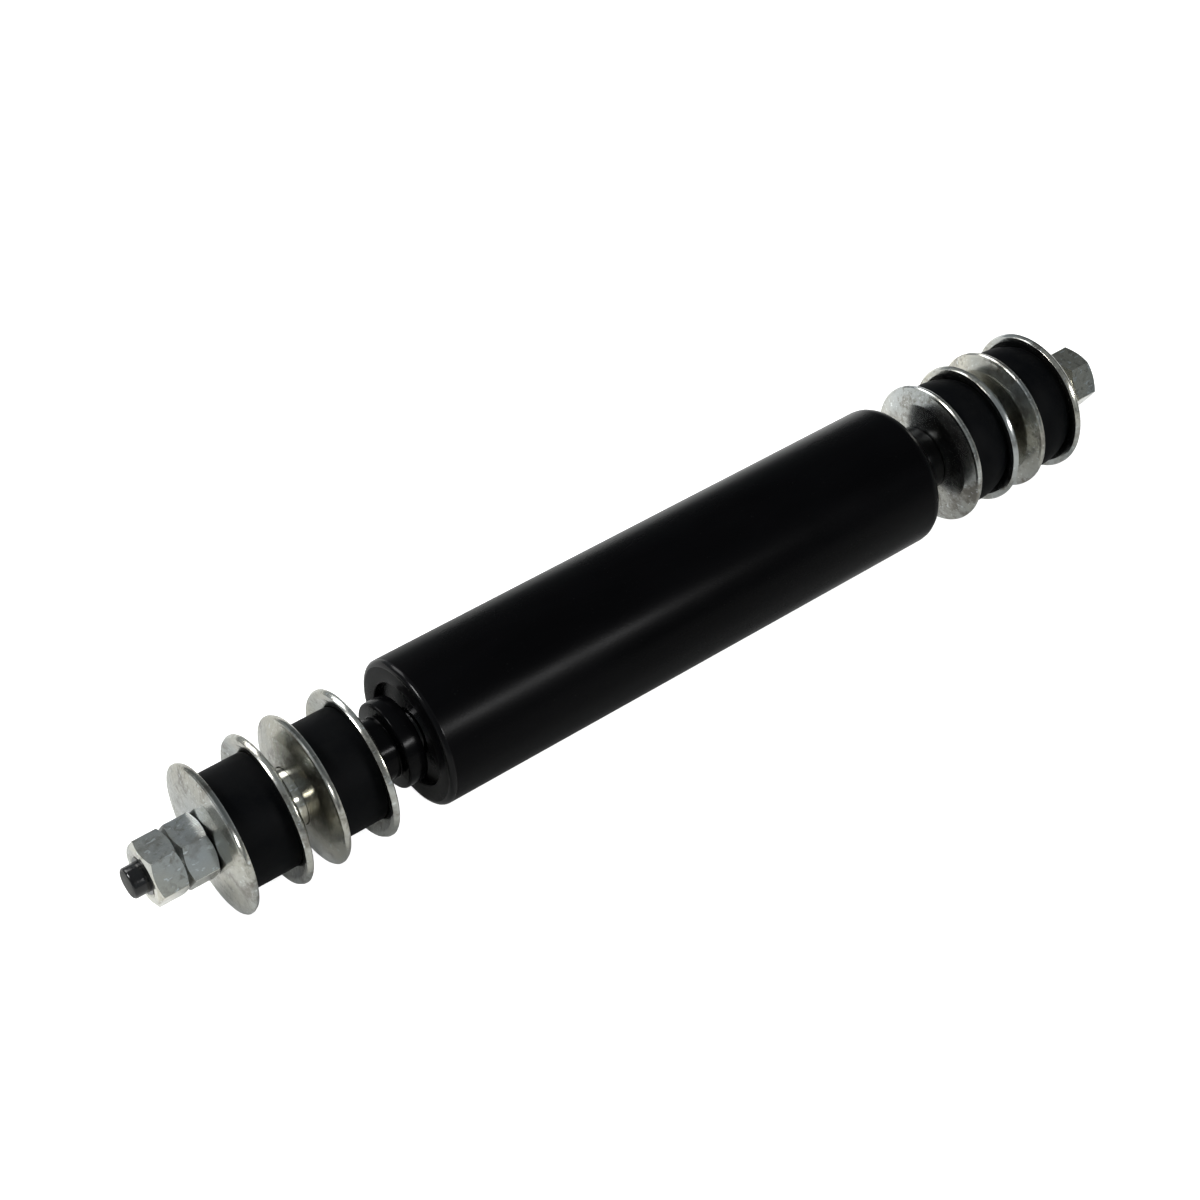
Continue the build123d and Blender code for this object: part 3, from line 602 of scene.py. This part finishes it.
def nut_piece(name, body, node_name, cone_painted_light=edge_highlight_zinc):
    """A hex nut in place of its node, with a lighter zinc on its corner bevels as painted
    highlight, and the given zinc on its cone chamfers, by default that lighter one.
    """
    start, end, flat = span(node_name)
    face_radius = NUT_FACE_SHARE * flat
    half_side = math.pi / 6 - NUT_CORNER
    columns = []
    for side in range(6):
        for step in range(NUT_SIDE_STEPS + 1):
            offset = half_side * (2 * step / NUT_SIDE_STEPS - 1)
            angle = math.pi / 3 * side + math.pi / 6 + offset
            reach = flat / math.cos(offset)
            cut = (reach - face_radius) * NUT_CONE_SLOPE
            half = [(NUT_SINK, NUT_BORE), (0, NUT_BORE + NUT_SINK), (0, face_radius), (cut, reach)]
            column = [around(start + x, r, angle) for x, r in half]
            column += [around(end - x, r, angle) for x, r in reversed(half)]
            columns.append(column)
    mesh = mesh_from(surface_of(columns, closed_rows=True), name)
    for face in mesh.polygons:
        across = math.hypot(face.normal.y, face.normal.z)
        turn = math.atan2(face.normal.z, face.normal.y) % (math.pi / 3)
        if across > NUT_SIDE_LEAN and min(turn, math.pi / 3 - turn) < NUT_CORNER_REACH:
            face.material_index = 1
        elif NUT_CONE_LEAN[0] < across < NUT_CONE_LEAN[1]:
            face.material_index = 2
    finishes = [nut_zinc, edge_highlight_zinc, cone_painted_light]
    finish_mesh(name, mesh, body, finishes, [node_name], sharp=NUT_SHARP_ANGLE)


# The inner rod nut's chamfers, in the groove between the nuts, take the darker zinc as painted
# shade
nut_piece("rod_nut_hex", "rod", "rod_nut", cone_painted_light=groove_shade_zinc)
nut_piece("rod_lock_nut_hex", "rod", "rod_lock_nut")
nut_piece("base_nut_hex", "barrel", "base_nut")

# Stop collar: boss and flange
BOSS_RADIUS = 10.0 * MM
BOSS_LENGTH = 7.1 * MM
BOSS_EDGE = 0.3 * MM
BOSS_FILLET = 0.5 * MM
FLANGE_EDGE = 0.8 * MM
ROD_BORE = 7.05 * MM
SEAT_DEPTH = 3.0 * MM
collar_start, collar_end, flange_radius = span("rod_collar")
collar_step = collar_start + BOSS_LENGTH
turned(
    "collar_turned",
    [
        (collar_start, STUD_RADIUS),
        (collar_start, BOSS_RADIUS, BOSS_EDGE),
        (collar_step, BOSS_RADIUS, BOSS_FILLET),
        (collar_step, flange_radius, FLANGE_EDGE),
        (collar_end, flange_radius, FLANGE_EDGE),
        (collar_end, ROD_BORE),
        (collar_start + SEAT_DEPTH, ROD_BORE),
        (collar_start + SEAT_DEPTH, STUD_RADIUS),
    ],
    "rod",
    collar_paint,
    ["rod_collar"],
)

# Rod: black stud end with a bare tip, chrome shaft below the collar
POINT_RADIUS = 4.87 * MM
POINT_EDGE = 0.9 * MM
ROD_RADIUS = 7.0 * MM
ROD_END_RADIUS = 6.0 * MM
SHOULDER_DEPTH = 3.1 * MM
TIP_FACE_DEPTH = 0.05 * MM
rod_start, rod_end, _ = span("piston_rod")
lock_nut_start = span("rod_lock_nut")[0]
shoulder = collar_start + SHOULDER_DEPTH
washer_start = span("backing_washer")[0]


def rod_finish(centre):
    """Bare metal on the tip's end face, chrome on the shaft and black elsewhere."""
    if centre.x < rod_start + TIP_FACE_DEPTH:
        return 1
    return 2 if centre.x > shoulder else 0


turned(
    "rod_turned",
    [
        (rod_start, 0),
        (rod_start, POINT_RADIUS, POINT_EDGE),
        (lock_nut_start, POINT_RADIUS),
        (lock_nut_start, STUD_RADIUS),
        (shoulder, STUD_RADIUS),
        (shoulder, ROD_RADIUS),
        (washer_start, ROD_RADIUS),
        (washer_start, ROD_END_RADIUS),
        (rod_end, ROD_END_RADIUS),
        (rod_end, 0),
    ],
    "rod",
    [black_oxide, bare_tip, chrome],
    ["piston_rod"],
    pick=rod_finish,
)

# Star springs: copies of their CAD meshes, riding on their bodies
for name, joint, body in (
    ("intake_spring", "intake_lift", "rod"),
    ("base_check_spring", "base_check_lift", "barrel"),
):
    hub_x, tip_x, _ = span(name)
    cad_spring = frame["nodes"][name]
    arms = bpy.data.objects.new(f"{name}_arms", cad_spring.data.copy())
    bpy.context.scene.collection.objects.link(arms)
    arms.matrix_world = cad_spring.matrix_world.copy()
    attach(arms, body)
    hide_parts(name)
    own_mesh(arms)

# Floor, world and lamps. The camera sees white behind the part, and metal sees a share of it.
# On the floor that share is a pool, graded between two places along X and two along Y.
FLOOR_HALF = 3.0
FLOOR_COLOUR = (0.8, 0.8, 0.78, 1)
FLOOR_GLOW = 0.9
ROOM_SHARE = 0.05
POOL_LEAST = 0.06
POOL_MOST = 0.65
POOL_ALONG = (-0.16, -0.05)
POOL_BEHIND = (-0.03, 0.01)


def background_factor(tree, share):
    """1 for camera rays and a share of it for glossy and transmission rays."""
    rays = node(tree, "ShaderNodeLightPath")
    mirrored = node(tree, "ShaderNodeMath", operation="MAXIMUM")
    tree.links.new(rays.outputs["Is Glossy Ray"], mirrored.inputs[0])
    tree.links.new(rays.outputs["Is Transmission Ray"], mirrored.inputs[1])
    factor = node(tree, "ShaderNodeMath", operation="MULTIPLY_ADD")
    if isinstance(share, bpy.types.NodeSocket):
        tree.links.new(share, factor.inputs[1])
    else:
        factor.inputs[1].default_value = share
    tree.links.new(mirrored.outputs[0], factor.inputs[0])
    tree.links.new(rays.outputs["Is Camera Ray"], factor.inputs[2])
    return factor.outputs[0]


def graded(tree, start, end, first, last):
    """A map-range node that grades from first to last between two places."""
    limits = {"From_Min": start, "From_Max": end, "To_Min": first, "To_Max": last}
    return node(tree, "ShaderNodeMapRange", **limits)


def pool_share(tree):
    """The share on the floor: a bright pool behind the base end, faint elsewhere."""
    place = node(tree, "ShaderNodeTexCoord")
    axes = node(tree, "ShaderNodeSeparateXYZ")
    along = graded(tree, *POOL_ALONG, POOL_LEAST, POOL_MOST)
    behind = graded(tree, *POOL_BEHIND, 0.0, 1.0)
    product = node(tree, "ShaderNodeMath", operation="MULTIPLY")
    tree.links.new(place.outputs["Object"], axes.inputs[0])
    tree.links.new(axes.outputs["X"], along.inputs["Value"])
    tree.links.new(axes.outputs["Y"], behind.inputs["Value"])
    tree.links.new(along.outputs["Result"], product.inputs[0])
    tree.links.new(behind.outputs["Result"], product.inputs[1])
    return product.outputs[0]


floor_height = cad_box[0].z
floor_shape = bmesh.new()
floor_corners = [(-1, -1), (1, -1), (1, 1), (-1, 1)]
floor_shape.faces.new([
    floor_shape.verts.new((FLOOR_HALF * x, FLOOR_HALF * y, floor_height))
    for x, y in floor_corners
])
floor_mesh = mesh_from(floor_shape, "floor")
floor = bpy.data.objects.new("floor", floor_mesh)
bpy.context.scene.collection.objects.link(floor)

floor_material, floor_tree, floor_shader = new_material("floor")
floor_shader.inputs["Base Color"].default_value = FLOOR_COLOUR
floor_shader.inputs["Roughness"].default_value = 0.9
floor_shader.inputs["Specular IOR Level"].default_value = 0.1
glow = node(floor_tree, "ShaderNodeEmission", Strength=FLOOR_GLOW)
added = node(floor_tree, "ShaderNodeAddShader")
seen = node(floor_tree, "ShaderNodeMixShader")
output = floor_tree.nodes["Material Output"]
floor_tree.links.new(floor_shader.outputs[0], added.inputs[0])
floor_tree.links.new(glow.outputs[0], added.inputs[1])
floor_tree.links.new(background_factor(floor_tree, pool_share(floor_tree)), seen.inputs[0])
floor_tree.links.new(floor_shader.outputs[0], seen.inputs[1])
floor_tree.links.new(added.outputs[0], seen.inputs[2])
floor_tree.links.new(seen.outputs[0], output.inputs["Surface"])
floor_mesh.materials.append(floor_material)

world = bpy.data.worlds.new("studio")
bpy.context.scene.world = world
world.use_nodes = True

# The room that metal mirrors: a grade by height times a grade from side to side
sky = world.node_tree
sky.nodes.clear()
sky_output = node(sky, "ShaderNodeOutputWorld")
sky_place = node(sky, "ShaderNodeTexCoord")
sky_axes = node(sky, "ShaderNodeSeparateXYZ")
sky.links.new(sky_place.outputs["Generated"], sky_axes.inputs[0])
height = ramp(sky, sky_axes.outputs["Z"], [(0.0, 1.0), (0.3, 0.9), (0.65, 0.5), (1.0, 0.75)])
across = node(sky, "ShaderNodeMapRange", From_Min=-1, From_Max=1)
sky.links.new(sky_axes.outputs["X"], across.inputs["Value"])
side = ramp(
    sky,
    across.outputs["Result"],
    [
        (0.0, (0.33, 0.36, 0.38)),
        (0.5, (0.33, 0.36, 0.38)),
        (0.6, (0.45, 0.49, 0.51)),
        (0.68, (0.15, 0.17, 0.18)),
        (0.9, (0.15, 0.17, 0.18)),
        (1.0, (0.3, 0.32, 0.33)),
    ],
)
room = mixed(sky, 1.0, height, side, blend="MULTIPLY")
room_light = node(sky, "ShaderNodeBackground")
white = node(sky, "ShaderNodeBackground", Strength=1.0)
white.inputs["Color"].default_value = (1, 1, 1, 1)
sky_mix = node(sky, "ShaderNodeMixShader")
sky.links.new(room, room_light.inputs["Color"])
sky.links.new(background_factor(sky, ROOM_SHARE), sky_mix.inputs[0])
sky.links.new(room_light.outputs[0], sky_mix.inputs[1])
sky.links.new(white.outputs[0], sky_mix.inputs[2])
sky.links.new(sky_mix.outputs[0], sky_output.inputs["Surface"])


def softbox(name, place, target, width, height, power, spread):
    """A soft rectangular lamp at a place, aimed at a target. Its power is in watts."""
    lamp = bpy.data.lights.new(name, "AREA")
    lamp.shape = "RECTANGLE"
    lamp.size = width
    lamp.size_y = height
    lamp.energy = power
    lamp.spread = spread
    holder = bpy.data.objects.new(name, lamp)
    holder.location = place
    holder.rotation_euler = (target - Vector(place)).to_track_quat("-Z", "Y").to_euler()
    bpy.context.scene.collection.objects.link(holder)


# The streak light is aimed so that the tube mirrors it as the long soft streak
STREAK_DISTANCE = 1.2
STREAK_SPREAD = math.radians(60)
tube_middle = Vector(((tube_start + tube_end) / 2, 0, 0))
streak_place = tube_middle + STREAK_DISTANCE * Vector((0.22, -0.76, 0.482))
softbox("streak_light", streak_place, tube_middle, 0.4, 0.12, 0.68, STREAK_SPREAD)
softbox("key_light", (-1.1, 0.32, 1.1), tube_middle, 0.45, 0.3, 14, math.pi)
softbox("back_light", (-0.5, 1.2, 0.9), tube_middle, 0.7, 0.7, 8, math.pi)

# Camera: fitted to the photo's tube edges and washer rims, with the sensor and lens in mm
SENSOR_WIDTH = 36
LENS = 69
CAMERA_PLACE = (-0.4742, -0.4062, 0.5078)
CAMERA_FORWARD = Vector((0.43586, 0.57118, -0.69554))
camera_data = bpy.data.cameras.new("camera")
camera_data.sensor_width = SENSOR_WIDTH
camera_data.lens = LENS
camera = bpy.data.objects.new("camera", camera_data)
camera.location = CAMERA_PLACE
camera.rotation_euler = CAMERA_FORWARD.to_track_quat("-Z", "Y").to_euler()
bpy.context.scene.collection.objects.link(camera)
bpy.context.scene.camera = camera
bpy.context.scene.view_settings.view_transform = "Standard"
